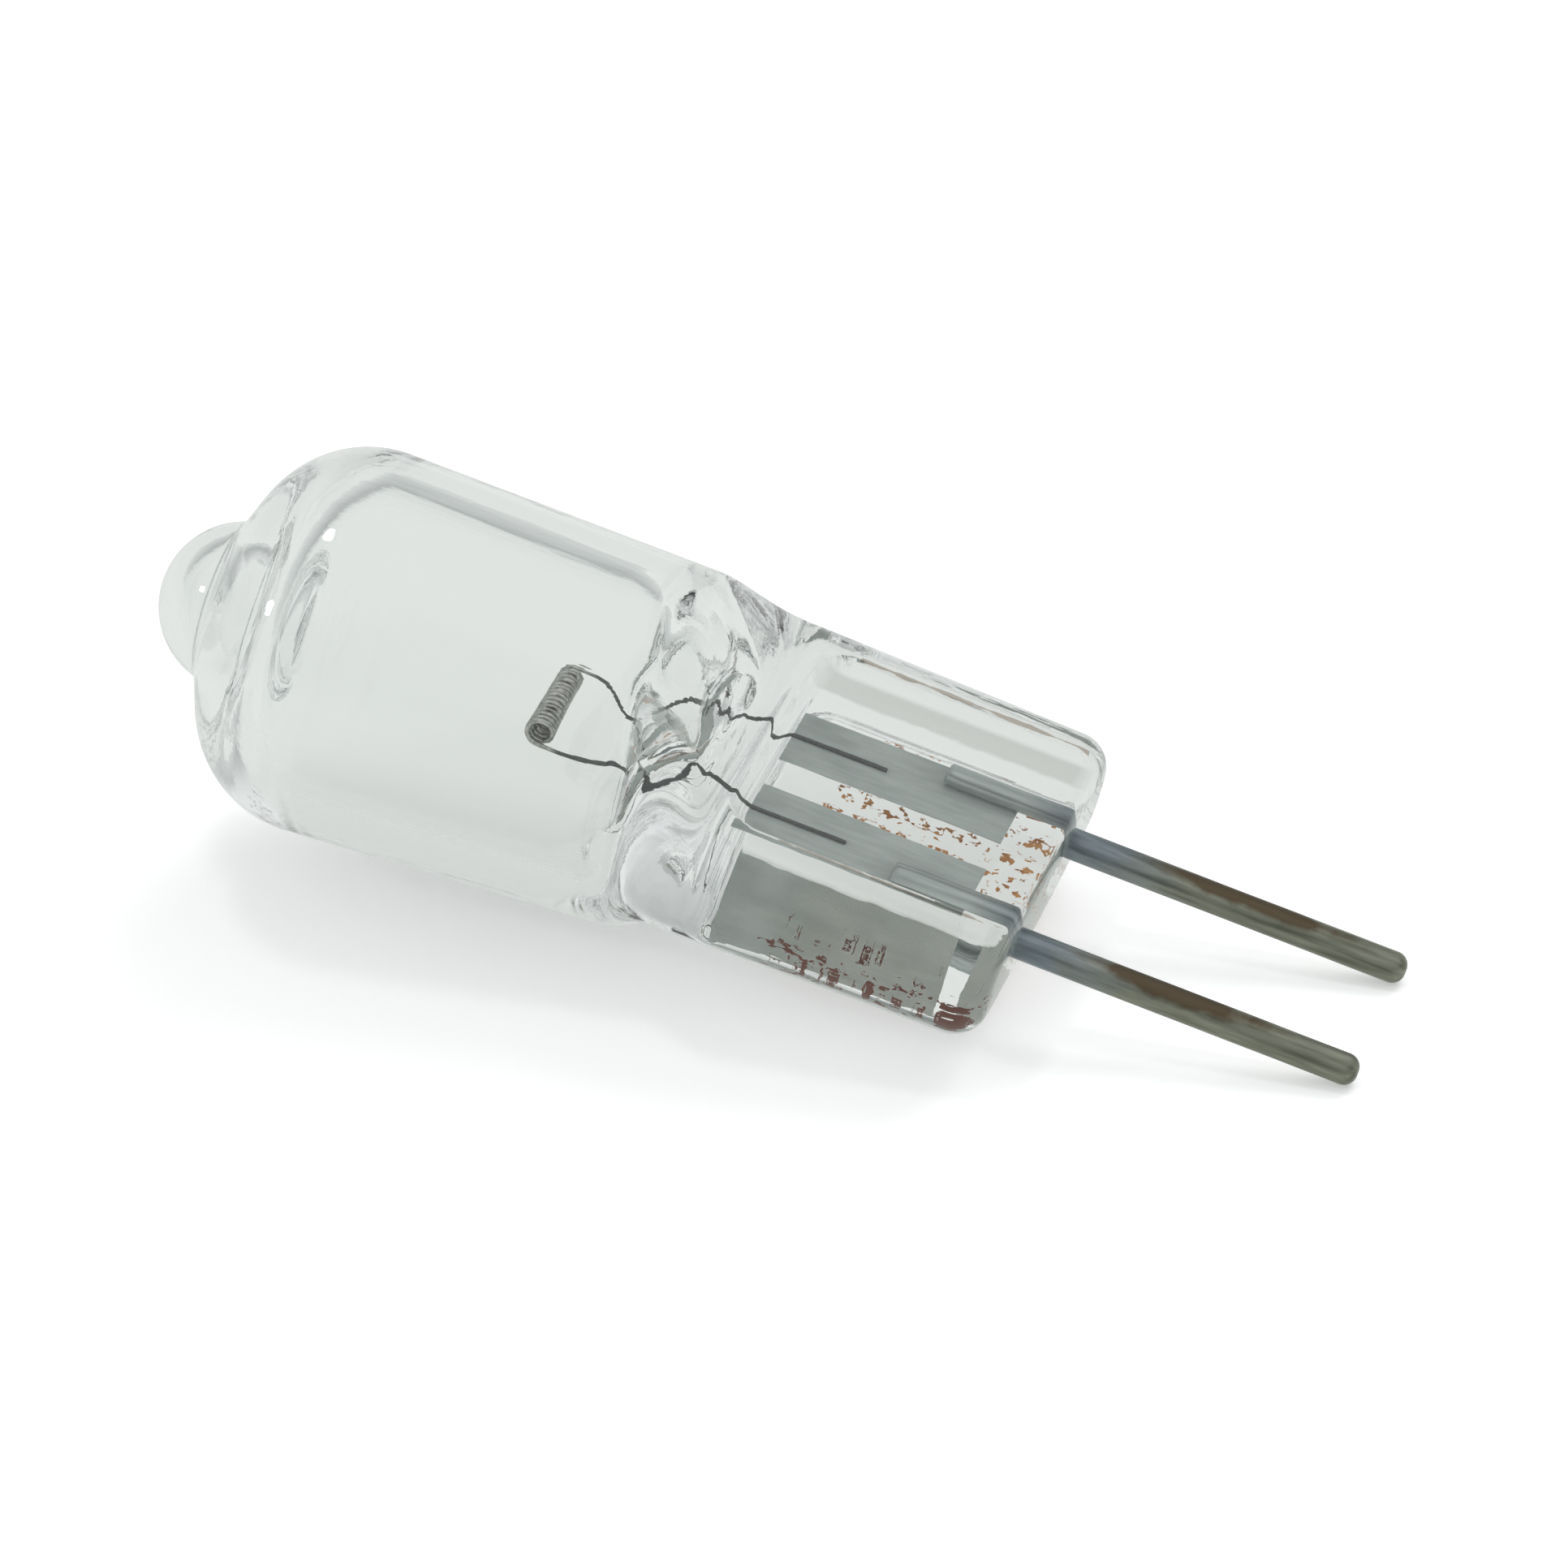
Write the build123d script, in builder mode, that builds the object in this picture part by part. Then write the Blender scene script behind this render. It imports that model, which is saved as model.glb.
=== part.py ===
"""Two-pin capsule lamp for a microscope: a clear quartz envelope, a coiled filament, two sealing foils and two pins.

The lamp lies as it comes to rest, on the heel of its bulb and on the ends of its pins, with its tip towards -X and
its pins towards +X. +Z is up, and z = 0 is the surface it lies on. All sizes are in millimetres.
"""
from math import asin, atan2, cos, hypot, pi, radians, sin, sqrt, tan
from build123d import *
import os

os.makedirs("parts", exist_ok=True)

# Pins
pin_spacing = 4.0
pin_diameter = 0.72
pin_free_length = 7.85
pin_sunk_length = 3.1
pin_sunk_draft = 0.3
pin_end_round = 0.2

# Pinch: the flat end of the quartz, sealed round the foils and pins
pinch_length = 7.5
pinch_half_width = 5.05
pinch_draft = 1.2
pinch_half_thickness = 1.66
pinch_corner = 1.3
pinch_crown = 5.0
pinch_end_round = 0.75

# Jaw marks: the sunk panel on each face of the pinch, between its thicker rims
jaw_half_width = 3.3
jaw_depth = 0.5
jaw_draft = 30.0
jaw_start = 1.5
jaw_run_out = 2.0
jaw_corner = 0.6
jaw_floor_round = 0.3

# Bulb, measured along its own axis from the neck where it meets the pinch
bulb_length = 13.4
bulb_lean = 3.0
bulb_front_radius = 4.39
dome_length = 4.4
shoulder_radius = 2.65
bulb_heel_radius = 4.1
bulb_heel = 1.65
heel_crown = 20.0
neck_end = 0.6
wall = 0.8
inner_dome_length = 4.6
inner_shoulder_radius = 1.5
cavity_end = 1.45
cavity_end_round = 1.65

# Exhaust pip: the sealed stub of the filling tube
pip_radius = 1.91
pip_height = 1.45
pip_neck_round = 0.3
pip_wall = 0.45
exhaust_radius = 1.1
exhaust_wall = 1.75

# Filament
wire_diameter = 0.12
coil_diameter = 0.68
coil_turns = 15.5
coil_pitch = 0.152
coil_from_neck = 4.05
leg_lead = 0.5
leg_half_gap = 0.95
leg_entry = 1.85
leg_entry_drop = 0.2
leg_bend = 0.9

# Foils
foil_length = 5.4
foil_width = 1.9
foil_thickness = 0.04
foil_spacing = 2.95
foil_start = 0.75
leg_on_foil = 2.4
weld_depth = 0.02

# Rest: the tilt that brings the heel of the bulb and the lower edge of the pin ends to one height
pin_radius = pin_diameter / 2
pin_end = pinch_length + pin_free_length
lean = radians(bulb_lean)
rest_reach = bulb_heel * cos(lean) - bulb_heel_radius * sin(lean) + pin_end - pin_end_round
rest_drop = bulb_heel * sin(lean) + bulb_heel_radius * cos(lean) - pin_radius + pin_end_round
tilt = atan2(rest_drop, rest_reach) - asin(pin_end_round / hypot(rest_reach, rest_drop))
pin_end_drop = (pin_end - pin_end_round) * sin(tilt) + (pin_radius - pin_end_round) * cos(tilt)
neck_height = pin_end_drop + pin_end_round

# The origin lies under the middle of the lamp's length
tip_reach = (bulb_length - pip_radius) * cos(tilt - lean) + pip_radius
pin_reach = (pin_end - pin_end_round) * cos(tilt) + (pin_radius - pin_end_round) * sin(tilt) + pin_end_round
neck_x = (tip_reach - pin_reach) / 2


def tilted(angle):
    """Plane at the neck with X towards the pins, sloping down by the angle, and Y along the row of pins."""
    along = (cos(angle), 0, -sin(angle))
    return Plane(origin=(neck_x, 0, neck_height), x_dir=along, z_dir=(sin(angle), 0, cos(angle)))


def across(base, distance):
    """Plane square to a tilted plane's X, a distance along it: X is the lamp's width and Y its thickness."""
    return Plane(origin=base.origin + base.x_dir * distance, x_dir=base.y_dir, z_dir=base.x_dir)


def lengthwise(base):
    """Plane that halves the lamp's width: X runs along the lamp and Y through its thickness."""
    return Plane(origin=base.origin, x_dir=base.x_dir, z_dir=-base.y_dir)


lamp = tilted(tilt)
bulb = tilted(tilt - lean)

# Foils: thin strips of molybdenum, set into the underside of the pins by the depth of the weld
pin_sunk_radius = pin_radius - pin_sunk_length * tan(radians(pin_sunk_draft))
foil_top = weld_depth - pin_sunk_radius
foils = {}
for name, side in (("foil_near", -1), ("foil_far", 1)):
    with BuildPart() as foil:
        with BuildSketch(lamp.offset(foil_top)):
            with Locations((foil_start + foil_length / 2, side * foil_spacing / 2)):
                Rectangle(foil_length, foil_width)
        extrude(amount=-foil_thickness)
    foil.part.label = name
    foils[name] = foil

# Pins: straight rods with a rounded end, and a sunk end that tapers a little and is welded on the foil
pins = {}
for name, side in (("pin_near", -1), ("pin_far", 1)):
    with BuildPart() as pin:
        with BuildSketch(across(lamp, pinch_length)) as pin_section:
            with Locations((side * pin_spacing / 2, 0)):
                Circle(pin_radius)
        extrude(amount=pin_free_length)
        fillet(pin.edges().sort_by(Axis(lamp.origin, lamp.x_dir))[-1], pin_end_round)
        extrude(pin_section.sketch, amount=-pin_sunk_length, taper=pin_sunk_draft)
        add(foils[name.replace("pin", "foil")].part, mode=Mode.SUBTRACT)
    pin.part.label = name
    pins[name] = pin

# Filament: one tungsten wire, a close coil across the lamp with a leg from each end to its foil
wire_radius = wire_diameter / 2
coil_radius = coil_diameter / 2 - wire_radius
coil_length = coil_turns * coil_pitch
leg_level = foil_top + wire_radius - weld_depth / 2
coil_start = lamp.from_local_coords((-coil_from_neck, -coil_length / 2, 0))
coil_plane = Plane(origin=coil_start, x_dir=-lamp.z_dir, z_dir=lamp.y_dir)
coil_line = coil_plane * Helix(coil_pitch, coil_length, coil_radius)
with BuildPart() as filament:
    with BuildSketch(Plane(origin=coil_line @ 0, z_dir=coil_line % 0)):
        RegularPolygon(wire_radius, 6, major_radius=False)
    sweep(path=coil_line, is_frenet=True)
    for side, coil_end, leaving in ((-1, coil_line @ 0, (coil_line % 0) * -1), (1, coil_line @ 1, coil_line % 1)):
        entry = lamp.from_local_coords((-leg_entry, side * leg_half_gap, -leg_entry_drop))
        foil_entry = lamp.from_local_coords((foil_start, side * foil_spacing / 2, leg_level))
        leg_end = lamp.from_local_coords((foil_start + leg_on_foil, side * foil_spacing / 2, leg_level))
        with BuildLine() as leg_line:
            FilletPolyline(coil_end, coil_end + leaving * leg_lead, entry, foil_entry, leg_end, radius=leg_bend)
        with BuildSketch(Plane(origin=coil_end, z_dir=leaving)):
            RegularPolygon(wire_radius, 6, major_radius=False)
        sweep(path=leg_line.line)
    for foil in foils.values():
        add(foil.part, mode=Mode.SUBTRACT)
filament.part.label = "filament"


def glass_section(plane, half_width, half_thickness, corner, crown):
    """Section of the glass: four corner arcs joined by four arcs that each turn by twice the crown angle.

    With both halves and the corner equal it is a circle.
    """
    crown_angle = radians(crown)
    share = tan(crown_angle / 2)
    corner_reach = corner * (cos(crown_angle) + sin(crown_angle) * share)
    free_width = half_width - corner_reach
    free_thickness = half_thickness - corner_reach
    centre_x = (free_width - share * free_thickness) / (1 - share**2)
    centre_y = (free_thickness - share * free_width) / (1 - share**2)
    side_x = centre_x + corner * cos(crown_angle)
    side_y = centre_y + corner * sin(crown_angle)
    top_x = centre_x + corner * sin(crown_angle)
    top_y = centre_y + corner * cos(crown_angle)
    middle_x = centre_x + corner * cos(pi / 4)
    middle_y = centre_y + corner * sin(pi / 4)
    with BuildSketch(plane) as section:
        with BuildLine():
            ThreePointArc((side_x, -side_y), (half_width, 0), (side_x, side_y))
            ThreePointArc((side_x, side_y), (middle_x, middle_y), (top_x, top_y))
            ThreePointArc((top_x, top_y), (0, half_thickness), (-top_x, top_y))
            ThreePointArc((-top_x, top_y), (-middle_x, middle_y), (-side_x, side_y))
            ThreePointArc((-side_x, side_y), (-half_width, 0), (-side_x, -side_y))
            ThreePointArc((-side_x, -side_y), (-middle_x, -middle_y), (-top_x, -top_y))
            ThreePointArc((-top_x, -top_y), (0, -half_thickness), (top_x, -top_y))
            ThreePointArc((top_x, -top_y), (middle_x, -middle_y), (side_x, -side_y))
        make_face()
    return section.sketch


heel_shape = (bulb_heel_radius, bulb_heel_radius, bulb_heel_radius, heel_crown)
pinch_shape = (pinch_half_width, pinch_half_thickness, pinch_corner, pinch_crown)


def eased(start, end, share):
    """Value part of the way from start to end, slow at both ends."""
    return start + (end - start) * share**2 * (3 - 2 * share)


# Bulb profile: the pip, the dome's face, a round shoulder and a wall that tapers to the heel
bulb_shoulder = bulb_length - dome_length
inner_shoulder = bulb_length - inner_dome_length
taper = atan2(bulb_front_radius - bulb_heel_radius, bulb_shoulder - bulb_heel)
pip_base = pip_height - bulb_length
pip_centre = pip_radius - bulb_length
pip_base_radius = sqrt(pip_radius**2 - (pip_base - pip_centre) ** 2)


def arc_centre(start, radius, half_width):
    """Centre of a shoulder arc that starts on the tapered wall, at a distance from the neck."""
    return -start - radius * sin(taper), half_width - radius * cos(taper)


def face_tangent(point, centre, radius):
    """Angle and end of the straight line that leaves a point and runs into an arc."""
    away_x, away_y = centre[0] - point[0], centre[1] - point[1]
    angle = atan2(away_y, away_x) + asin(radius / hypot(away_x, away_y))
    length = sqrt(away_x**2 + away_y**2 - radius**2)
    return angle, (point[0] + length * cos(angle), point[1] + length * sin(angle))


def on_arc(centre, radius, angle):
    """Point of an arc whose outward direction leans by an angle from the lamp's width towards the tip."""
    return centre[0] - radius * sin(angle), centre[1] + radius * cos(angle)


def wall_radius(distance):
    """Outer radius of the tapered wall at a distance from the neck."""
    return bulb_heel_radius + (distance - bulb_heel) * tan(taper)


shoulder_centre = arc_centre(bulb_shoulder, shoulder_radius, bulb_front_radius)
face_angle, face_end = face_tangent((pip_base, pip_base_radius), shoulder_centre, shoulder_radius)

# Cavity profile: one wall inside the bulb, open through the exhaust hole into the hollow pip
inner_radius = wall_radius(inner_shoulder) - wall
inner_centre = arc_centre(inner_shoulder, inner_shoulder_radius, inner_radius)
mouth = (pip_base + exhaust_wall, exhaust_radius)
inner_face_angle, inner_face_end = face_tangent(mouth, inner_centre, inner_shoulder_radius)
hollow_radius = pip_radius - pip_wall
hollow_end = pip_centre + sqrt(hollow_radius**2 - exhaust_radius**2)
cavity_end_radius = wall_radius(cavity_end) - wall

# Jaw marks: a cutter for each face, with sloping sides, that runs out through the pin end
with BuildPart() as jaw_marks:
    with BuildSketch(lamp.offset(pinch_half_thickness - jaw_depth)):
        with Locations(((jaw_start + pinch_length + jaw_run_out) / 2, 0)):
            RectangleRounded(pinch_length + jaw_run_out - jaw_start, 2 * jaw_half_width, jaw_corner)
    extrude(amount=jaw_depth * 3, taper=-jaw_draft)
    fillet(jaw_marks.faces().sort_by(Axis(lamp.origin, lamp.z_dir))[0].edges(), jaw_floor_round)
    mirror(about=lamp)

with BuildPart() as quartz_envelope:
    # Pinch, with a fire-rounded end and the jaw marks
    extrude(glass_section(across(lamp, neck_end), *pinch_shape), amount=pinch_length - neck_end, taper=pinch_draft)
    fillet(quartz_envelope.faces().sort_by(Axis(lamp.origin, lamp.x_dir))[-1].edges(), pinch_end_round)
    add(jaw_marks.part, mode=Mode.SUBTRACT)

    # Neck: from the heel the quartz closes in to the flat pinch
    neck_sections = []
    for share in (0, 0.25, 0.5, 0.75, 1):
        plane = across(tilted(tilt - lean * (1 - share)), -bulb_heel + share * (bulb_heel + neck_end))
        neck_sections.append(glass_section(plane, *[eased(a, b, share) for a, b in zip(heel_shape, pinch_shape)]))
    loft(neck_sections)

    # Bulb and pip
    with BuildSketch(lengthwise(bulb)) as bulb_profile:
        with BuildLine():
            ThreePointArc(
                (-bulb_length, 0),
                (pip_centre - pip_radius * cos(pi / 4), pip_radius * sin(pi / 4)),
                (pip_base, pip_base_radius),
            )
            Line((pip_base, pip_base_radius), face_end)
            ThreePointArc(
                face_end,
                on_arc(shoulder_centre, shoulder_radius, face_angle / 2),
                (-bulb_shoulder, bulb_front_radius),
            )
            Polyline(
                (-bulb_shoulder, bulb_front_radius),
                (-bulb_heel, bulb_heel_radius),
                (-bulb_heel, 0),
                (-bulb_length, 0),
            )
        make_face()
        fillet(bulb_profile.vertices().sort_by_distance((pip_base, pip_base_radius))[0], pip_neck_round)
    revolve(axis=Axis(bulb.origin, bulb.x_dir))

    # Sealed cavity
    with BuildSketch(lengthwise(bulb)) as cavity_profile:
        with BuildLine():
            ThreePointArc((pip_centre - hollow_radius, 0), (pip_centre, hollow_radius), (hollow_end, exhaust_radius))
            Line((hollow_end, exhaust_radius), mouth)
            Line(mouth, inner_face_end)
            ThreePointArc(
                inner_face_end,
                on_arc(inner_centre, inner_shoulder_radius, inner_face_angle / 2),
                (-inner_shoulder, inner_radius),
            )
            Polyline(
                (-inner_shoulder, inner_radius),
                (-cavity_end, cavity_end_radius),
                (-cavity_end, 0),
                (pip_centre - hollow_radius, 0),
            )
        make_face()
        fillet(cavity_profile.vertices().sort_by_distance((-cavity_end, cavity_end_radius))[0], cavity_end_round)
    revolve(axis=Axis(bulb.origin, bulb.x_dir), mode=Mode.SUBTRACT)

    # The sealed metal takes the place of quartz
    for metal in (*foils.values(), *pins.values(), filament):
        add(metal.part, mode=Mode.SUBTRACT)
quartz_envelope.part.label = "quartz_envelope"

for piece in (quartz_envelope, filament, *foils.values(), *pins.values()):
    export_step(piece.part, f"parts/{piece.part.label}.step")
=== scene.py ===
"""Looks of a small two-pin capsule lamp: clear fused quartz, a coiled filament, sealing foils and drawn pins.

Lengths are in millimetres up to the making of each mesh, and follow the lamp's solids.
"""
from math import asin, atan2, cos, hypot, pi, radians, sin, sqrt, tan

import bpy
import numpy as np
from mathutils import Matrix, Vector, noise


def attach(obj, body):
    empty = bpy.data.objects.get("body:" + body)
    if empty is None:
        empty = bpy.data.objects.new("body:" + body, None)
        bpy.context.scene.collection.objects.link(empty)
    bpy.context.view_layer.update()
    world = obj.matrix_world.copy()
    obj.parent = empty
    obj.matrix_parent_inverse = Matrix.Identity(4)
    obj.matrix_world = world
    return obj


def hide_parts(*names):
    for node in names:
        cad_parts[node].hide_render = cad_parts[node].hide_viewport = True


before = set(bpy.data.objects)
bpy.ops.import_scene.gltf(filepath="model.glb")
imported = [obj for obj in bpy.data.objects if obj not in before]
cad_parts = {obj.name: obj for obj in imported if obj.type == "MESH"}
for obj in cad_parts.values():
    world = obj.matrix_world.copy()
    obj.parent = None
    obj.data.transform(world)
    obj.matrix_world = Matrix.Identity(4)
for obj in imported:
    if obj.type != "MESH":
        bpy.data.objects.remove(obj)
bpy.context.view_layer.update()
MM = 0.001
SHARP_ANGLE = radians(50)

# Pins
pin_spacing = 4.0
pin_radius = 0.36
pin_free_length = 7.85
pin_sunk_length = 3.1
pin_sunk_draft = 0.3
pin_end_round = 0.2
pin_nose = 0.3
pin_cap_radius = 0.02
pin_sunk_chamfer = 0.03
pin_dent = 0.012

# Pinch and jaw marks
pinch_length = 7.5
pinch_half_width = 5.05
pinch_draft = 1.2
pinch_half_thickness = 1.66
pinch_corner = 1.3
pinch_crown = 5.0
pinch_end_round = 0.75
jaw_half_width = 3.3
jaw_depth = 0.5
jaw_draft = 30.0
jaw_start = 0.95
jaw_run_out = 2.0
jaw_corner = 0.6
jaw_floor_round = 0.3
jaw_edge_round = 0.05
jaw_side_band = 0.2

# Bulb and cavity
bulb_length = 13.4
bulb_lean = 3.0
bulb_front_radius = 4.39
bulb_shoulder = 9.0
shoulder_radius = 2.65
bulb_heel_radius = 4.1
bulb_heel = 1.65
heel_crown = 20.0
neck_end = 0.6
wall = 0.8
inner_shoulder = 8.8
inner_shoulder_radius = 1.5
cavity_end = 1.05
cavity_end_round = 1.65
cavity_spacing = 0.1
cavity_passes = 3
pip_radius = 1.91
pip_height = 1.45
pip_neck_round = 0.3
pip_wall = 0.45
exhaust_radius = 1.1
exhaust_wall = 1.75

# Oxide stain on each pin
stain_middle = 11.3
stain_length = 4.6
stain_width = 0.5

# Worn print on the underside of the web, across the lamp, with a strip left bare
ink_row_spacing = 0.86
ink_row_shift = 20.33
ink_row_share = 0.34
ink_raggedness = 0.9
ink_half_width = 3.1
ink_bare_middle = -1.65
ink_bare_half_width = 0.42
ink_darker_side = -1.9

# Greyer glass colour in a strip on the web and a brown line along the rims, across the lamp and above its
# middle plane
grey_strip_inner_side = 2.38
grey_strip_outer_side = 3.26
grey_strip_edge = 0.12
rim_line_side = 3.56
web_level = 0.9
rim_level = 1.3

# Waves in the glass
surface_inset = 0.004
neck_wave = 0.011
pinch_wave = 0.006
cavity_wave = 0.12
cavity_shrink = 0.04

# Filament and foils
wire_radius = 0.06
coil_radius = 0.28
coil_turns = 15.5
coil_pitch = 0.152
coil_from_neck = 4.05
leg_lead = 0.5
leg_half_gap = 0.95
leg_entry = 1.85
leg_entry_drop = 0.2
foil_spacing = 2.95
foil_start = 0.75
leg_on_foil = 2.4
weld_depth = 0.02
leg_passes = 8

# Rest: the lamp lies on the heel of its bulb and on the ends of its pins
pin_end = pinch_length + pin_free_length
lean = radians(bulb_lean)
rest_reach = bulb_heel * cos(lean) - bulb_heel_radius * sin(lean) + pin_end - pin_end_round
rest_drop = bulb_heel * sin(lean) + bulb_heel_radius * cos(lean) - pin_radius + pin_end_round
tilt = atan2(rest_drop, rest_reach) - asin(pin_end_round / hypot(rest_reach, rest_drop))
round_end, round_side = pin_end - pin_end_round, pin_radius - pin_end_round
neck_height = round_end * sin(tilt) + round_side * cos(tilt) + pin_end_round
tip_reach = (bulb_length - pip_radius) * cos(tilt - lean) + pip_radius
pin_reach = round_end * cos(tilt) + round_side * sin(tilt) + pin_end_round
neck_x = (tip_reach - pin_reach) / 2


def placed(local, angle=tilt):
    """Row-frame points of local ones: along the lamp to the pins, across its width, up its thickness."""
    local = np.asarray(local, float)
    along, wide, high = local[..., 0], local[..., 1], local[..., 2]
    x = neck_x + along * np.cos(angle) + high * np.sin(angle)
    z = neck_height - along * np.sin(angle) + high * np.cos(angle)
    return np.stack((x, wide, z), -1)


def mesh_piece(name, points, faces, material, replaced):
    """A smooth-shaded piece from row-frame millimetre points, riding on the lamp."""
    mesh = bpy.data.meshes.new(name)
    mesh.from_pydata((np.asarray(points) * MM).tolist(), [], faces)
    mesh.shade_smooth()
    mesh.set_sharp_from_angle(angle=SHARP_ANGLE)
    mesh.materials.append(material)
    piece = bpy.data.objects.new(name, mesh)
    bpy.context.scene.collection.objects.link(piece)
    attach(piece, "root")
    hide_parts(replaced)


def skin(rings, count, start):
    """Quads between consecutive closed rings of points, the first of which begins at an index."""
    faces = []
    for ring in range(rings - 1):
        a = start + ring * count
        for i in range(count):
            j = (i + 1) % count
            faces.append((a + i, a + j, a + count + j, a + count + i))
    return faces


def arc(centre, radius, start, end, steps):
    """Points of an arc between two directions, in degrees from the lamp's axis."""
    turn = np.radians(np.linspace(start, end, steps))
    return np.stack((centre[0] + radius * np.cos(turn), centre[1] + radius * np.sin(turn)), -1)


def joined(*runs):
    """One line of points from several, without the repeated ends."""
    points = [runs[0]]
    for run in runs[1:]:
        run = np.asarray(run, float)
        points.append(run[1:] if np.allclose(run[0], points[-1][-1], atol=1e-6) else run)
    return np.concatenate(points)


def straight(start, end, steps):
    """Evenly spaced points of a straight line."""
    return np.linspace(start, end, steps)


# Profiles of the bulb and its cavity, as distance along the bulb from the neck and radius
taper = atan2(bulb_front_radius - bulb_heel_radius, bulb_shoulder - bulb_heel)
pip_base = pip_height - bulb_length
pip_centre = pip_radius - bulb_length
pip_base_radius = sqrt(pip_radius**2 - (pip_base - pip_centre) ** 2)


def wall_radius(distance):
    """Outer radius of the tapered wall at a distance from the neck."""
    return bulb_heel_radius + (distance - bulb_heel) * tan(taper)


def face_tangent(point, centre, radius):
    """Angle and end of the straight line that leaves a point and runs into an arc."""
    away_x, away_y = centre[0] - point[0], centre[1] - point[1]
    angle = atan2(away_y, away_x) + asin(radius / hypot(away_x, away_y))
    length = sqrt(away_x**2 + away_y**2 - radius**2)
    return angle, (point[0] + length * cos(angle), point[1] + length * sin(angle))


def arc_centre(start, radius, half_width):
    """Centre of a shoulder arc that starts on the tapered wall."""
    return -start - radius * sin(taper), half_width - radius * cos(taper)


shoulder_centre = arc_centre(bulb_shoulder, shoulder_radius, bulb_front_radius)
face_angle, face_end = face_tangent((pip_base, pip_base_radius), shoulder_centre, shoulder_radius)

# The small hollow round at the pip's foot touches the pip and the dome's face
face_line = np.array((cos(face_angle), sin(face_angle)))
face_out = np.array((-sin(face_angle), cos(face_angle)))
foot = np.array((pip_base, pip_base_radius)) + pip_neck_round * face_out - np.array((pip_centre, 0))
half_b = foot @ face_line
reach = -half_b + sqrt(half_b**2 - foot @ foot + (pip_radius + pip_neck_round) ** 2)
round_centre = np.array((pip_centre, 0)) + foot + reach * face_line
round_from_pip = atan2(round_centre[1], round_centre[0] - pip_centre)
round_on_face = np.array((pip_base, pip_base_radius)) + reach * face_line
face_turn = np.degrees(atan2(*(round_on_face - round_centre)[::-1]))
face_degrees = np.degrees(face_angle)

outer_profile = joined(
    arc((pip_centre, 0), pip_radius, 180, np.degrees(round_from_pip), 26),
    arc(round_centre, pip_neck_round, np.degrees(round_from_pip) - 180, face_turn, 10),
    straight(round_on_face, face_end, 6),
    arc(shoulder_centre, shoulder_radius, 90 + face_degrees, 90 - np.degrees(taper), 30),
    straight((-bulb_shoulder, bulb_front_radius), (-bulb_heel, bulb_heel_radius), 14),
)

inner_radius = wall_radius(inner_shoulder) - wall
inner_centre = arc_centre(inner_shoulder, inner_shoulder_radius, inner_radius)
mouth = (pip_base + exhaust_wall, exhaust_radius)
inner_face_angle, inner_face_end = face_tangent(mouth, inner_centre, inner_shoulder_radius)
hollow_radius = pip_radius - pip_wall
hollow_end = pip_centre + sqrt(hollow_radius**2 - exhaust_radius**2)
hollow_turn = np.degrees(atan2(exhaust_radius, hollow_end - pip_centre))
cavity_corner = (-cavity_end - cavity_end_round, wall_radius(cavity_end) - wall - cavity_end_round)
cavity_profile = joined(
    arc((pip_centre, 0), hollow_radius, 180, hollow_turn, 26),
    straight((hollow_end, exhaust_radius), mouth, 8),
    straight(mouth, inner_face_end, 10),
    arc(inner_centre, inner_shoulder_radius, 90 + np.degrees(inner_face_angle), 90 - np.degrees(taper), 22),
    straight((-inner_shoulder, inner_radius), (cavity_corner[0], cavity_corner[1] + cavity_end_round), 30),
    arc(cavity_corner, cavity_end_round, 90, 0, 18),
    straight((-cavity_end, cavity_corner[1]), (-cavity_end, 0.0), 10),
)


def softened(profile, spacing, passes):
    """The same line with evenly spaced points and its corners melted, with both ends kept."""
    steps = np.hypot(*np.diff(profile, axis=0).T)
    length = np.concatenate(((0,), np.cumsum(steps)))
    even = np.linspace(0, length[-1], int(length[-1] / spacing))
    line = np.stack([np.interp(even, length, profile[:, i]) for i in (0, 1)], -1)
    for _ in range(passes):
        line[1:-1] = (line[:-2] + 2 * line[1:-1] + line[2:]) / 4
    return line


# Section of the glass: arcs given by the direction they face, so that every ring has the same layout
SIDE_STEPS, CORNER_STEPS, TOP_STEPS = 8, 22, 96
NECK_RINGS, PINCH_RINGS, END_RINGS = 44, 95, 12


def section(half_width, half_thickness, corner, crown):
    """Points of a section, across the width and up the thickness, from the middle of the far side."""
    turn = radians(crown)
    share = tan(turn / 2)
    free_width, free_thickness = half_width - corner, half_thickness - corner
    cx = (free_width - share * free_thickness) / (1 - share**2)
    cy = (free_thickness - share * free_width) / (1 - share**2)
    side = cy / sin(turn) + corner
    top = cx / sin(turn) + corner
    spans = [((half_width - side, 0), side, 0, crown, SIDE_STEPS)]
    spans += [((cx, cy), corner, crown, 90 - crown, CORNER_STEPS)]
    spans += [((0, half_thickness - top), top, 90 - crown, 90 + crown, TOP_STEPS)]
    spans += [((-cx, cy), corner, 90 + crown, 180 - crown, CORNER_STEPS)]
    spans += [((side - half_width, 0), side, 180 - crown, 180, SIDE_STEPS)]
    upper = np.concatenate([arc(c, r, a, b, n + 1)[:-1] for c, r, a, b, n in spans])
    ends = np.array(((-half_width, 0.0),))
    lower = upper[1:][::-1] * (1, -1)
    return np.concatenate((upper, ends, lower))


def eased(start, end, share):
    """Value part of the way from start to end, slow at both ends."""
    return start + (end - start) * share**2 * (3 - 2 * share)


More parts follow.
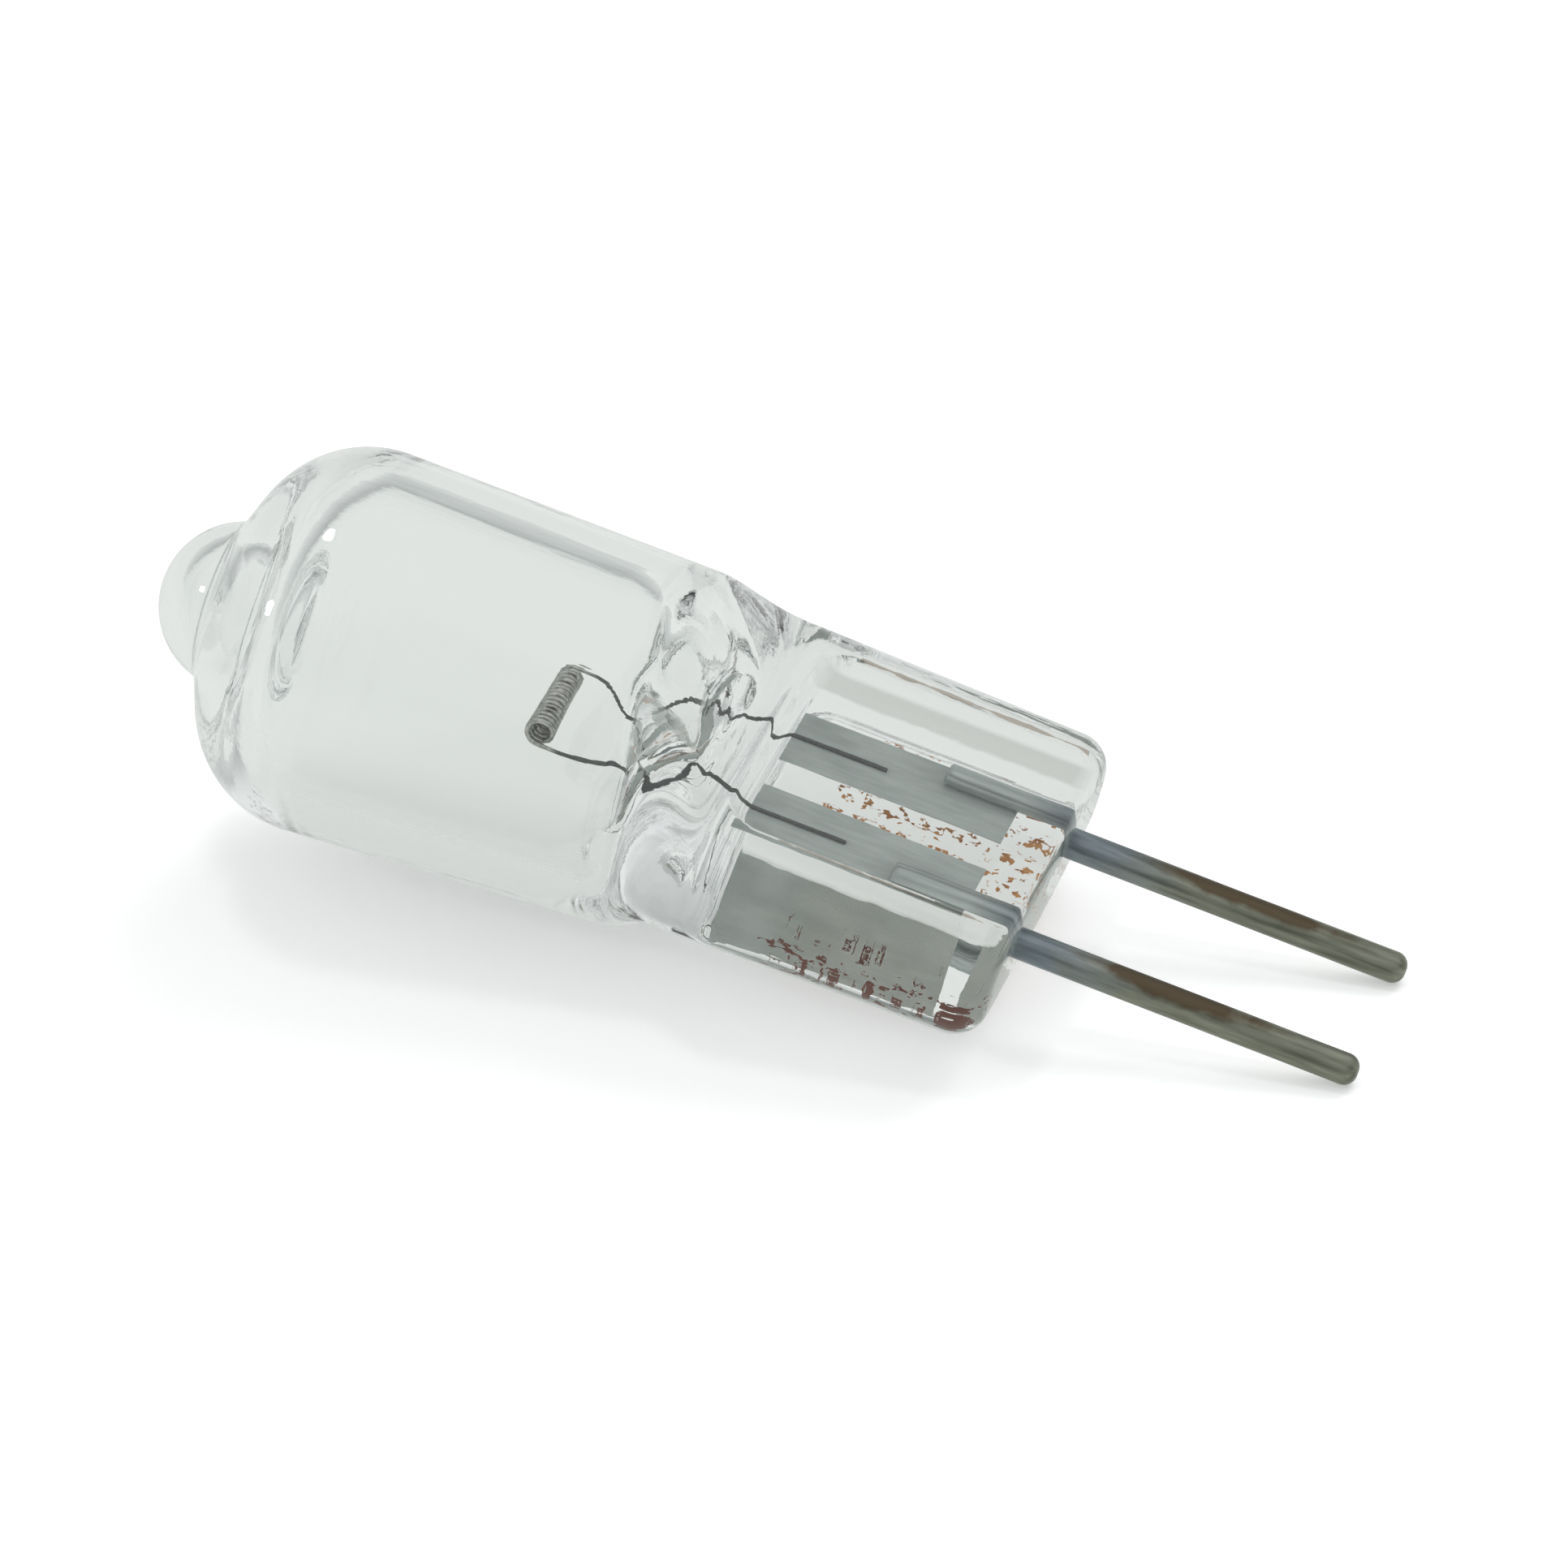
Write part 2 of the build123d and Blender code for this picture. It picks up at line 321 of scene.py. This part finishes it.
def jaw_limit(along, wide):
    """How far from the middle plane the glass reaches inside and beside a jaw mark."""
    half_length = (pinch_length + jaw_run_out - jaw_start) / 2
    from_end = np.abs(along - jaw_start - half_length) - half_length + jaw_corner
    from_side = np.abs(wide) - jaw_half_width + jaw_corner
    outside = np.hypot(np.maximum(from_end, 0), np.maximum(from_side, 0))
    away = outside + np.minimum(np.maximum(from_end, from_side), 0) - jaw_corner
    slope = 1 / tan(radians(jaw_draft))
    foot_length = jaw_floor_round * tan(atan2(slope, 1) / 2)
    round_end = foot_length * cos(atan2(slope, 1))
    swing = np.clip(away + foot_length, 0, foot_length + round_end)
    rise = jaw_floor_round - np.sqrt(jaw_floor_round**2 - swing**2)
    rise = np.where(away > round_end, away * slope, rise)
    return pinch_half_thickness - jaw_depth + rise


rings = []
ring_angles = []
bulb_tilt = tilt - lean
for distance, radius in outer_profile[1:]:
    ring = section(radius, radius, radius, heel_crown)
    rings.append(np.column_stack((np.full(len(ring), distance), ring)))
    ring_angles.append(bulb_tilt)
heel_shape = (bulb_heel_radius, bulb_heel_radius, bulb_heel_radius, heel_crown)
pinch_shape = (pinch_half_width, pinch_half_thickness, pinch_corner, pinch_crown)
for share in np.linspace(0, 1, NECK_RINGS + 1)[1:]:
    ring = section(*[eased(a, b, share) for a, b in zip(heel_shape, pinch_shape)])
    along = -bulb_heel + share * (bulb_heel + neck_end)
    rings.append(np.column_stack((np.full(len(ring), along), ring)))
    ring_angles.append(bulb_tilt + lean * share)
pinch_alongs = np.linspace(neck_end, pinch_length - pinch_end_round, PINCH_RINGS + 1)[1:]
pinch_rows = [(along, 0.0) for along in pinch_alongs]
for turn in np.radians(np.linspace(0, 90, END_RINGS + 1)[1:]):
    pinch_rows.append((pinch_length - pinch_end_round * (1 - sin(turn)), pinch_end_round * (1 - cos(turn))))
for along, inset in pinch_rows:
    inset += (along - neck_end) * tan(radians(pinch_draft))
    ring = section(pinch_half_width - inset, pinch_half_thickness - inset, pinch_corner - inset, pinch_crown)
    limit = jaw_limit(along, ring[:, 0])
    high = np.abs(ring[:, 1])
    blend = np.clip(0.5 + (limit - high) / (2 * jaw_edge_round), 0, 1)
    least = limit * (1 - blend) + high * blend - jaw_edge_round * blend * (1 - blend)
    ring[:, 1] = np.sign(ring[:, 1]) * np.where(high < jaw_side_band, high, least)
    rings.append(np.column_stack((np.full(len(ring), along), ring)))
    ring_angles.append(tilt)
count = len(rings[0])
ring_points = np.stack([placed(ring, angle) for ring, angle in zip(rings, ring_angles)])

# Waves left by the pinch's jaws and by the flame, strongest at the neck
ring_local = np.stack(rings)
centre_line = np.stack([placed((ring[0, 0], 0, 0), angle) for ring, angle in zip(rings, ring_angles)])
for row in range(len(rings)):
    along = ring_local[row, 0, 0]
    neck_share = max(0.0, 1 - abs(along + 0.2) / 2.2)
    pinch_share = min(max((along - 0.4) / 1.5, 0.0), 1.0) * min(max((pinch_length - along) / 1.0, 0.0), 1.0)
    amount = neck_wave * neck_share + pinch_wave * pinch_share
    for i in range(count):
        _, wide, high = ring_local[row, i]
        wave = noise.noise(Vector((along * 0.35, wide * 0.9, high * 0.9 + 4)))
        ripple = noise.noise(Vector((along * 0.9 + 7, wide * 1.8, high * 1.8)))
        inward = centre_line[row] - ring_points[row, i]
        depth = surface_inset + amount * (1.0 + wave + 0.6 * ripple)
        ring_points[row, i] += inward / np.linalg.norm(inward) * depth

tip = placed((surface_inset - bulb_length, 0, 0), bulb_tilt)
glass_points = [tip] + list(ring_points.reshape(-1, 3))
glass_faces = [(0, 1 + i, 1 + (i + 1) % count)[::-1] for i in range(count)]
glass_faces += skin(len(rings), count, 1)
last = 1 + (len(rings) - 1) * count
half = count // 2
glass_faces.append((last, last + 1, last + count - 1))
for i in range(1, half - 1):
    glass_faces.append((last + i, last + i + 1, last + count - i - 1, last + count - i))
glass_faces.append((last + half - 1, last + half, last + half + 1))

# Sealed cavity, with the waves that the pinch leaves at its end
cavity_line = softened(cavity_profile, cavity_spacing, cavity_passes)[1:-1]
CAVITY_STEPS = 112
cavity_start = len(glass_points)
for distance, radius in cavity_line:
    for turn in np.linspace(0, 2 * pi, CAVITY_STEPS, endpoint=False):
        wide, high = radius * cos(turn), radius * sin(turn)
        near_end = min(max((distance + 3.2) / 1.4, 0.0), 1.0)
        wave = noise.noise(Vector((wide * 0.8, high * 1.1 + 9, distance * 0.6)))
        along = distance + near_end * cavity_wave * wave
        dents = noise.noise(Vector((wide * 0.7 + 3, high * 0.7, distance)))
        shrink = 1 - near_end * cavity_shrink * (1 + dents)
        glass_points.append(placed((along, wide * shrink, high * shrink), bulb_tilt))
glass_faces += [face[::-1] for face in skin(len(cavity_line), CAVITY_STEPS, cavity_start)]
pole = len(glass_points)
glass_points.append(placed((pip_centre - hollow_radius, 0, 0), bulb_tilt))
glass_points.append(placed((-cavity_end, 0, 0), bulb_tilt))
cavity_last = cavity_start + (len(cavity_line) - 1) * CAVITY_STEPS
for i in range(CAVITY_STEPS):
    j = (i + 1) % CAVITY_STEPS
    glass_faces.append((pole, cavity_start + i, cavity_start + j))
    glass_faces.append((pole + 1, cavity_last + j, cavity_last + i))


# Materials
class Nodes:
    """Short ways to add and join the nodes of one material."""

    def __init__(self, name):
        self.material = bpy.data.materials.new(name)
        self.material.use_nodes = True
        self.tree = self.material.node_tree
        self.shader = self.tree.nodes["Principled BSDF"]
        self.output = self.tree.nodes["Material Output"]

    def add(self, kind, inputs=(), **settings):
        node = self.tree.nodes.new(kind)
        for key, value in settings.items():
            setattr(node, key, value)
        for key, value in dict(inputs).items():
            self.feed(node.inputs[key], value)
        return node

    def feed(self, target, value):
        """Links a value to an input, or sets the input to a constant."""
        if isinstance(value, bpy.types.NodeSocket):
            self.tree.links.new(value, target)
        else:
            target.default_value = value

    def surface(self, **values):
        """Feeds inputs of the material's shader, named with underscores for spaces."""
        for name, value in values.items():
            self.feed(self.shader.inputs[name.replace("_", " ")], value)

    def math(self, operation, *values):
        return self.add("ShaderNodeMath", dict(enumerate(values)), operation=operation).outputs[0]

    def product(self, first, *others):
        result = first
        for other in others:
            result = self.math("MULTIPLY", result, other)
        return result

    def away(self, value, middle):
        """Distance between a value and a middle one."""
        return self.math("ABSOLUTE", self.math("SUBTRACT", value, middle))

    def above(self, value, limit):
        return self.math("GREATER_THAN", value, limit)

    def below(self, value, limit):
        return self.math("LESS_THAN", value, limit)

    def split(self, place):
        return self.add("ShaderNodeSeparateXYZ", {0: place}).outputs

    def noise(self, place, scale, detail, distortion=0.0):
        inputs = {"Vector": place, "Scale": scale, "Detail": detail, "Distortion": distortion}
        return self.add("ShaderNodeTexNoise", inputs).outputs[0]

    def stretched(self, place, scale, location=(0, 0, 0), rotation=(0, 0, 0)):
        inputs = {"Vector": place, "Scale": scale, "Location": location, "Rotation": rotation}
        return self.add("ShaderNodeMapping", inputs).outputs[0]

    def change(self, value, start, end, low=0.0, high=1.0):
        """Goes from low to high while a value goes from start to end."""
        inputs = {"Value": value, "From Min": start, "From Max": end, "To Min": low, "To Max": high}
        return self.add("ShaderNodeMapRange", inputs).outputs[0]

    def ramp(self, value, first, last):
        """Colours that a value passes, as two pairs of a place and a colour."""
        node = self.add("ShaderNodeValToRGB", {"Fac": value})
        for element, (place, colour) in zip(node.color_ramp.elements, (first, last)):
            element.position = place
            element.color = (*colour, 1)
        return node.outputs["Color"]

    def mixed(self, share, first, second):
        """A share of the way from the first colour to the second."""
        ends = [(*colour, 1) if isinstance(colour, tuple) else colour for colour in (first, second)]
        return self.add("ShaderNodeMix", {0: share, 6: ends[0], 7: ends[1]}, data_type="RGBA").outputs[2]

    def bump(self, height, strength, distance):
        inputs = {"Height": height, "Strength": strength, "Distance": distance}
        return self.add("ShaderNodeBump", inputs).outputs[0]


def lamp_coordinates(nodes):
    """Position in millimetres from the neck: along the lamp, across its width, and up its thickness."""
    coordinates = nodes.add("ShaderNodeTexCoord")
    moved = nodes.add(
        "ShaderNodeVectorMath",
        {0: coordinates.outputs["Object"], 1: (-neck_x * MM, 0, -neck_height * MM)},
        operation="ADD",
    )
    turned = nodes.add(
        "ShaderNodeVectorRotate",
        {"Vector": moved.outputs[0], "Axis": (0, 1, 0), "Angle": -tilt},
        rotation_type="AXIS_ANGLE",
    )
    scaled = nodes.add("ShaderNodeVectorMath", {0: turned.outputs[0], "Scale": 1 / MM}, operation="SCALE")
    return scaled.outputs[0]


def ink_marks(nodes, place):
    """Mask of worn print on the underside of the web: rows of broken strokes that form no letters."""
    along, wide, high = nodes.split(place)
    flakes = nodes.noise(place, 6.5, 3.0)
    shifted = nodes.math("ADD", wide, nodes.product(nodes.math("SUBTRACT", flakes, 0.5), ink_raggedness))
    rows = nodes.math("DIVIDE", nodes.math("ADD", shifted, ink_row_shift), ink_row_spacing)
    row = nodes.math("FRACT", rows)
    drift = nodes.stretched(place, (0.35, 1.2, 0.0), location=(3, 1, 0))
    first = nodes.math("ADD", nodes.product(nodes.noise(drift, 1.0, 1.0), 2.6), 1.0)
    strokes = nodes.stretched(place, (3.0, 4.2, 0.0), rotation=(0, 0, 0.3))
    return nodes.product(
        nodes.above(nodes.noise(strokes, 1.0, 1.5, distortion=0.5), 0.53),
        nodes.above(flakes, 0.47),
        nodes.above(along, first),
        nodes.below(nodes.away(row, 0.5), ink_row_share),
        nodes.below(nodes.away(shifted, 0.0), ink_half_width),
        nodes.above(nodes.away(shifted, ink_bare_middle), ink_bare_half_width),
        nodes.below(high, -web_level),
    )


def grey_strip(nodes, place):
    """Mask of a strip of greyer glass colour on the upper side of the web, between the far foil and the far
    rim.
    """
    along, wide, high = nodes.split(place)
    cloud = nodes.noise(place, 1.6, 3.0)
    shifted = nodes.math("ADD", wide, nodes.product(nodes.math("SUBTRACT", cloud, 0.5), 0.3))
    return nodes.product(
        nodes.above(high, web_level),
        nodes.change(shifted, grey_strip_inner_side, grey_strip_inner_side + grey_strip_edge),
        nodes.change(wide, grey_strip_outer_side, grey_strip_outer_side - grey_strip_edge),
        nodes.change(along, 0.7, 1.2),
        nodes.change(along, 7.4, 7.0),
    )


def rim_line(nodes, place):
    """Mask of the brown line along the upper edge of each side of the jaw mark."""
    along, wide, high = nodes.split(place)
    off_edge = nodes.math("SUBTRACT", nodes.math("ABSOLUTE", wide), rim_line_side)
    width = nodes.product(nodes.math("SUBTRACT", nodes.noise(place, 0.9, 3.0), 0.36), 0.34)
    on_line = nodes.below(nodes.math("ABSOLUTE", off_edge), width)
    return nodes.product(on_line, nodes.above(high, rim_level), nodes.above(along, 1.6))


def quartz_material():
    nodes = Nodes("fused_quartz")
    place = lamp_coordinates(nodes)
    ink = ink_marks(nodes, place)
    darker_side = nodes.below(nodes.split(place)[1], ink_darker_side)
    worn_ink = nodes.ramp(nodes.noise(place, 2.5, 2.0), (0.35, (0.5, 0.17, 0.05)), (0.62, (0.9, 0.42, 0.13)))
    ink_colour = nodes.mixed(darker_side, worn_ink, (0.2, 0.05, 0.025))
    # The glass colour turns grey inside the strip on the web's upper side
    clear = nodes.mixed(grey_strip(nodes, place), (0.975, 0.985, 0.98), (0.58, 0.6, 0.575))
    lined = nodes.mixed(nodes.product(rim_line(nodes, place), 0.85), clear, (0.2, 0.13, 0.07))
    streaks = nodes.stretched(place, (0.25, 1.6, 1.6))
    nodes.surface(
        Base_Color=nodes.mixed(ink, lined, ink_colour),
        Transmission_Weight=nodes.math("SUBTRACT", 1.0, ink),
        Roughness=nodes.product(ink, 0.6),
        IOR=1.46,
        Normal=nodes.bump(nodes.noise(streaks, 1.3, 3.0), 0.08, 0.0001),
    )
    return nodes.material


def tungsten_material():
    nodes = Nodes("tungsten")
    place = lamp_coordinates(nodes)
    grain = nodes.noise(place, 9.0, 4.0)
    bright = nodes.ramp(grain, (0.3, (0.3, 0.3, 0.28)), (0.75, (0.6, 0.6, 0.56)))
    on_leg = nodes.change(nodes.split(place)[0], -3.75, -3.45)
    nodes.surface(
        Base_Color=nodes.mixed(on_leg, bright, (0.11, 0.115, 0.11)),
        Metallic=1.0,
        Roughness=0.25,
        Normal=nodes.bump(grain, 0.2, 0.00001),
    )
    return nodes.material


def foil_material():
    nodes = Nodes("molybdenum_foil")
    place = lamp_coordinates(nodes)
    rolled = nodes.noise(nodes.stretched(place, (0.5, 3.0, 1.0)), 2.2, 6.0)
    cloud = nodes.noise(place, 0.7, 2.0)
    both = nodes.math("ADD", nodes.product(rolled, 0.5), nodes.product(cloud, 0.5))
    nodes.surface(
        Base_Color=nodes.ramp(both, (0.35, (0.5, 0.555, 0.53)), (0.62, (0.68, 0.735, 0.705))),
        Metallic=0.25,
        Roughness=0.55,
        Normal=nodes.bump(rolled, 0.15, 0.00002),
    )
    return nodes.material


def stain_mask(nodes, along, wide, high, cloud, side):
    """Mask of a ragged oxide stain on top of one pin."""
    from_middle = nodes.math("SUBTRACT", along, stain_middle + 0.3 * side)
    off_middle = nodes.math("SUBTRACT", wide, side * pin_spacing / 2 - 0.03)
    squares = [
        nodes.math("POWER", nodes.math("DIVIDE", distance, size / 2), 2.0)
        for distance, size in ((from_middle, stain_length), (off_middle, stain_width))
    ]
    spread = nodes.math("ADD", *squares)
    ragged = nodes.math("ADD", spread, nodes.product(nodes.math("SUBTRACT", cloud, 0.5), 2.4))
    return nodes.product(nodes.change(ragged, 1.25, 0.55, 0.0, 0.9), nodes.change(high, -0.08, 0.12))


def pin_material(name, side):
    nodes = Nodes(name)
    place = lamp_coordinates(nodes)
    along, wide, high = nodes.split(place)
    lines = nodes.noise(nodes.stretched(place, (0.3, 3.0, 3.0), location=(side, 0, 0)), 2.0, 5.0)
    olive = nodes.ramp(lines, (0.3, (0.13, 0.135, 0.1)), (0.7, (0.3, 0.31, 0.25)))
    blue = nodes.ramp(lines, (0.3, (0.12, 0.145, 0.16)), (0.7, (0.3, 0.34, 0.37)))
    pale = nodes.ramp(lines, (0.3, (0.36, 0.4, 0.39)), (0.7, (0.56, 0.61, 0.59)))
    cloud = nodes.noise(place, 1.1, 3.0, distortion=0.5)
    from_glass = nodes.math("ADD", along, nodes.product(cloud, 3.0))
    bare = nodes.mixed(nodes.change(from_glass, pinch_length + 2.0, pinch_length + 4.5), blue, olive)
    metal = nodes.mixed(nodes.change(along, pinch_length - 1.3, pinch_length - 0.2), pale, bare)
    stain = stain_mask(nodes, along, wide, high, cloud, side)
    nodes.surface(
        Base_Color=nodes.mixed(stain, metal, (0.09, 0.062, 0.035)),
        Metallic=0.9,
        Roughness=nodes.change(lines, 0.0, 1.0, 0.28, 0.46),
        Normal=nodes.bump(lines, 0.12, 0.00002),
    )
    return nodes.material


mesh_piece("quartz_glass", glass_points, glass_faces, quartz_material(), "quartz_envelope")


def tube(path, radius, sides):
    """Points and faces of a closed round tube along a line of points."""
    path = np.asarray(path, float)
    heading = np.gradient(path, axis=0)
    heading /= np.linalg.norm(heading, axis=1)[:, None]
    across = np.cross(heading[0], (0.3, 0.2, 1.0))
    points = []
    for place, ahead in zip(path, heading):
        across = across - (across @ ahead) * ahead
        across /= np.linalg.norm(across)
        other = np.cross(ahead, across)
        for turn in np.linspace(0, 2 * pi, sides, endpoint=False):
            points.append(place + radius * (cos(turn) * across + sin(turn) * other))
    faces = skin(len(path), sides, 0)
    faces.append(tuple(range(sides))[::-1])
    faces.append(tuple((len(path) - 1) * sides + i for i in range(sides)))
    return points, faces


# Filament: the coil starts at the bottom of its near end and ends at the top of its far end
COIL_STEPS, LEG_STEPS, WIRE_SIDES = 30, 90, 12
turns = np.linspace(0, 2 * pi * coil_turns, int(coil_turns * COIL_STEPS) + 1)
coil_length = coil_turns * coil_pitch
coil = np.stack(
    (
        -coil_from_neck - coil_radius * np.sin(turns),
        -coil_length / 2 + coil_pitch * turns / (2 * pi),
        -coil_radius * np.cos(turns),
    ),
    -1,
)
foil_top = weld_depth - pin_radius + pin_sunk_length * tan(radians(pin_sunk_draft))
leg_level = foil_top + wire_radius - weld_depth / 2
legs = []
for side, coil_end in ((-1, coil[0]), (1, coil[-1])):
    corners = np.array(
        (
            coil_end,
            coil_end + (leg_lead, side * leg_lead * coil_pitch / (2 * pi * coil_radius), 0),
            (-leg_entry, side * leg_half_gap, -leg_entry_drop),
            (foil_start, side * foil_spacing / 2, leg_level),
            (foil_start + leg_on_foil, side * foil_spacing / 2, leg_level),
        )
    )
    steps = np.linalg.norm(np.diff(corners, axis=0), axis=1)
    length = np.concatenate(((0,), np.cumsum(steps)))
    even = np.linspace(0, length[-1], LEG_STEPS)
    leg = np.stack([np.interp(even, length, corners[:, i]) for i in range(3)], -1)
    for _ in range(leg_passes):
        leg[1:-1] = (leg[:-2] + 2 * leg[1:-1] + leg[2:]) / 4
    legs.append(leg)
wire = np.concatenate((legs[0][:0:-1], coil, legs[1][1:]))
wire_points, wire_faces = tube(placed(wire), wire_radius, WIRE_SIDES)
mesh_piece("coiled_wire", wire_points, wire_faces, tungsten_material(), "filament")

# Pins: drawn rods with rounded ends
PIN_STEPS = 56
sunk_radius = pin_radius - pin_sunk_length * tan(radians(pin_sunk_draft))
pin_start = pinch_length - pin_sunk_length
pin_profile = joined(
    straight((pin_start, pin_cap_radius), (pin_start, sunk_radius - pin_sunk_chamfer), 6),
    straight((pin_start + pin_sunk_chamfer, sunk_radius), (pinch_length, pin_radius), 16),
    straight((pinch_length, pin_radius), (pin_end - pin_nose, pin_radius), 50),
    arc((pin_end - pin_nose, pin_radius - pin_nose), pin_nose, 90, 0, 14),
    straight((pin_end, pin_radius - pin_nose), (pin_end, pin_cap_radius), 5),
)
for name, side in (("pin_near", -1), ("pin_far", 1)):
    pin_points = []
    for along, radius in pin_profile:
        for turn in np.linspace(0, 2 * pi, PIN_STEPS, endpoint=False):
            wide, high = radius * cos(turn), radius * sin(turn)
            dents = noise.noise(Vector((along * 0.7 + side, wide * 2, high * 2)))
            dent = 1 - pin_dent * (1 + dents)
            pin_points.append((along, side * pin_spacing / 2 + wide * dent, high * dent))
    pin_faces = skin(len(pin_profile), PIN_STEPS, 0)
    pin_faces.append(tuple(range(PIN_STEPS))[::-1])
    pin_faces.append(tuple((len(pin_profile) - 1) * PIN_STEPS + i for i in range(PIN_STEPS)))
    metal = pin_material(f"{name}_metal", side)
    mesh_piece(f"drawn_{name}", placed(pin_points), pin_faces, metal, name)

foil_finish = foil_material()
for name in ("foil_near", "foil_far"):
    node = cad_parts[name]
    node.data.materials.clear()
    node.data.materials.append(foil_finish)

# Floor and world: pale, white to the camera, and a little darker through the glass
floor_mesh = bpy.data.meshes.new("floor")
floor_half = 0.6
floor_corners = [(x * floor_half, y * floor_half, 0) for x, y in ((-1, -1), (1, -1), (1, 1), (-1, 1))]
floor_mesh.from_pydata(floor_corners, [], [(0, 1, 2, 3)])
floor = bpy.data.objects.new("floor", floor_mesh)
floor.location.z = -0.00001
bpy.context.scene.collection.objects.link(floor)
floor_nodes = Nodes("floor")
floor_nodes.surface(
    Base_Color=(0.8, 0.8, 0.8, 1),
    Roughness=0.9,
    Specular_IOR_Level=0.1,
    Emission_Color=(1, 1, 1, 1),
    Emission_Strength=0.32,
)
ray = floor_nodes.add("ShaderNodeLightPath")
veiled = floor_nodes.add("ShaderNodeEmission", {"Color": (0.66, 0.685, 0.66, 1), "Strength": 1.0})
lit_share = floor_nodes.math("MAXIMUM", ray.outputs["Is Camera Ray"], 0.2)
lit = floor_nodes.shader.outputs[0]
through = floor_nodes.add("ShaderNodeMixShader", {0: lit_share, 1: veiled.outputs[0], 2: lit})
floor_nodes.feed(floor_nodes.output.inputs["Surface"], through.outputs[0])
floor_mesh.materials.append(floor_nodes.material)

world = bpy.data.worlds.new("studio")
bpy.context.scene.world = world
world.use_nodes = True
tree = world.node_tree
background = tree.nodes["Background"]
place = tree.nodes.new("ShaderNodeTexCoord")
parts = tree.nodes.new("ShaderNodeSeparateXYZ")
tree.links.new(place.outputs["Generated"], parts.inputs[0])
sky = tree.nodes.new("ShaderNodeValToRGB")
tree.links.new(parts.outputs[2], sky.inputs["Fac"])
sky.color_ramp.elements[0].position = 0.0
sky.color_ramp.elements[0].color = (0.66, 0.69, 0.675, 1)
sky.color_ramp.elements[1].position = 0.8
sky.color_ramp.elements[1].color = (0.8, 0.82, 0.82, 1)
dim = sky.color_ramp.elements.new(0.3)
dim.color = (0.42, 0.445, 0.44, 1)
tree.links.new(sky.outputs["Color"], background.inputs["Color"])
background.inputs["Strength"].default_value = 1.0
white = tree.nodes.new("ShaderNodeBackground")
white.inputs["Color"].default_value = (1, 1, 1, 1)
path = tree.nodes.new("ShaderNodeLightPath")
mix = tree.nodes.new("ShaderNodeMixShader")
tree.links.new(path.outputs["Is Camera Ray"], mix.inputs[0])
tree.links.new(background.outputs[0], mix.inputs[1])
tree.links.new(white.outputs[0], mix.inputs[2])
tree.links.new(mix.outputs[0], tree.nodes["World Output"].inputs[0])


def area_light(name, place, size, power, colour=(1, 1, 1), glints=False):
    """A soft light aimed at the lamp, which shows as a glint on the glass or only lights it."""
    data = bpy.data.lights.new(name, "AREA")
    data.shape = "DISK" if glints else "SQUARE"
    data.size = size
    data.energy = power
    data.color = colour
    light = bpy.data.objects.new(name, data)
    light.location = place
    light.rotation_euler = (Vector((0, 0, 0.004)) - Vector(place)).to_track_quat("-Z", "Y").to_euler()
    bpy.context.scene.collection.objects.link(light)
    light.visible_glossy = glints
    light.visible_transmission = False


area_light("softbox_behind", (0.06, 0.2, 0.21), 0.2, 0.44)
area_light("softbox_left", (-0.2, -0.05, 0.14), 0.16, 0.05, (0.95, 0.98, 1.0))
area_light("glint_above", (-0.06, 0.02, 0.24), 0.036, 0.06, glints=True)
area_light("glint_left", (-0.17, -0.1, 0.13), 0.03, 0.04, glints=True)

# Long paths through the glass, so that light caught in its walls comes out again
bounces = bpy.context.scene.cycles
bounces.max_bounces = 32
bounces.glossy_bounces = 24
bounces.transmission_bounces = 24

# Camera, placed so that the lamp's neck lies on a given pixel of a square frame
azimuth, elevation, distance = radians(18.2), radians(34.2), 200.0
back = np.array((sin(azimuth) * cos(elevation), -cos(azimuth) * cos(elevation), sin(elevation)))
right = np.array((cos(azimuth), sin(azimuth), 0))
up = np.array((-sin(azimuth) * sin(elevation), cos(azimuth) * sin(elevation), cos(elevation)))
frame_pixels = 1932
focal_pixels = 11220.0
neck_pixel = np.array((898.5, 949.8))
offset = (frame_pixels / 2 - neck_pixel) * (1, -1) * distance / focal_pixels
target = np.array((neck_x, 0, neck_height)) + right * offset[0] + up * offset[1]
camera_data = bpy.data.cameras.new("camera")
camera_data.sensor_width = 36
camera_data.lens = focal_pixels / frame_pixels * camera_data.sensor_width
camera_data.clip_start = 0.01
camera_data.clip_end = 10
camera = bpy.data.objects.new("camera", camera_data)
camera.location = Vector((target + back * distance) * MM)
camera.rotation_euler = Vector(back).to_track_quat("Z", "Y").to_euler()
bpy.context.scene.collection.objects.link(camera)
bpy.context.scene.camera = camera
bpy.context.scene.view_settings.view_transform = "Standard"
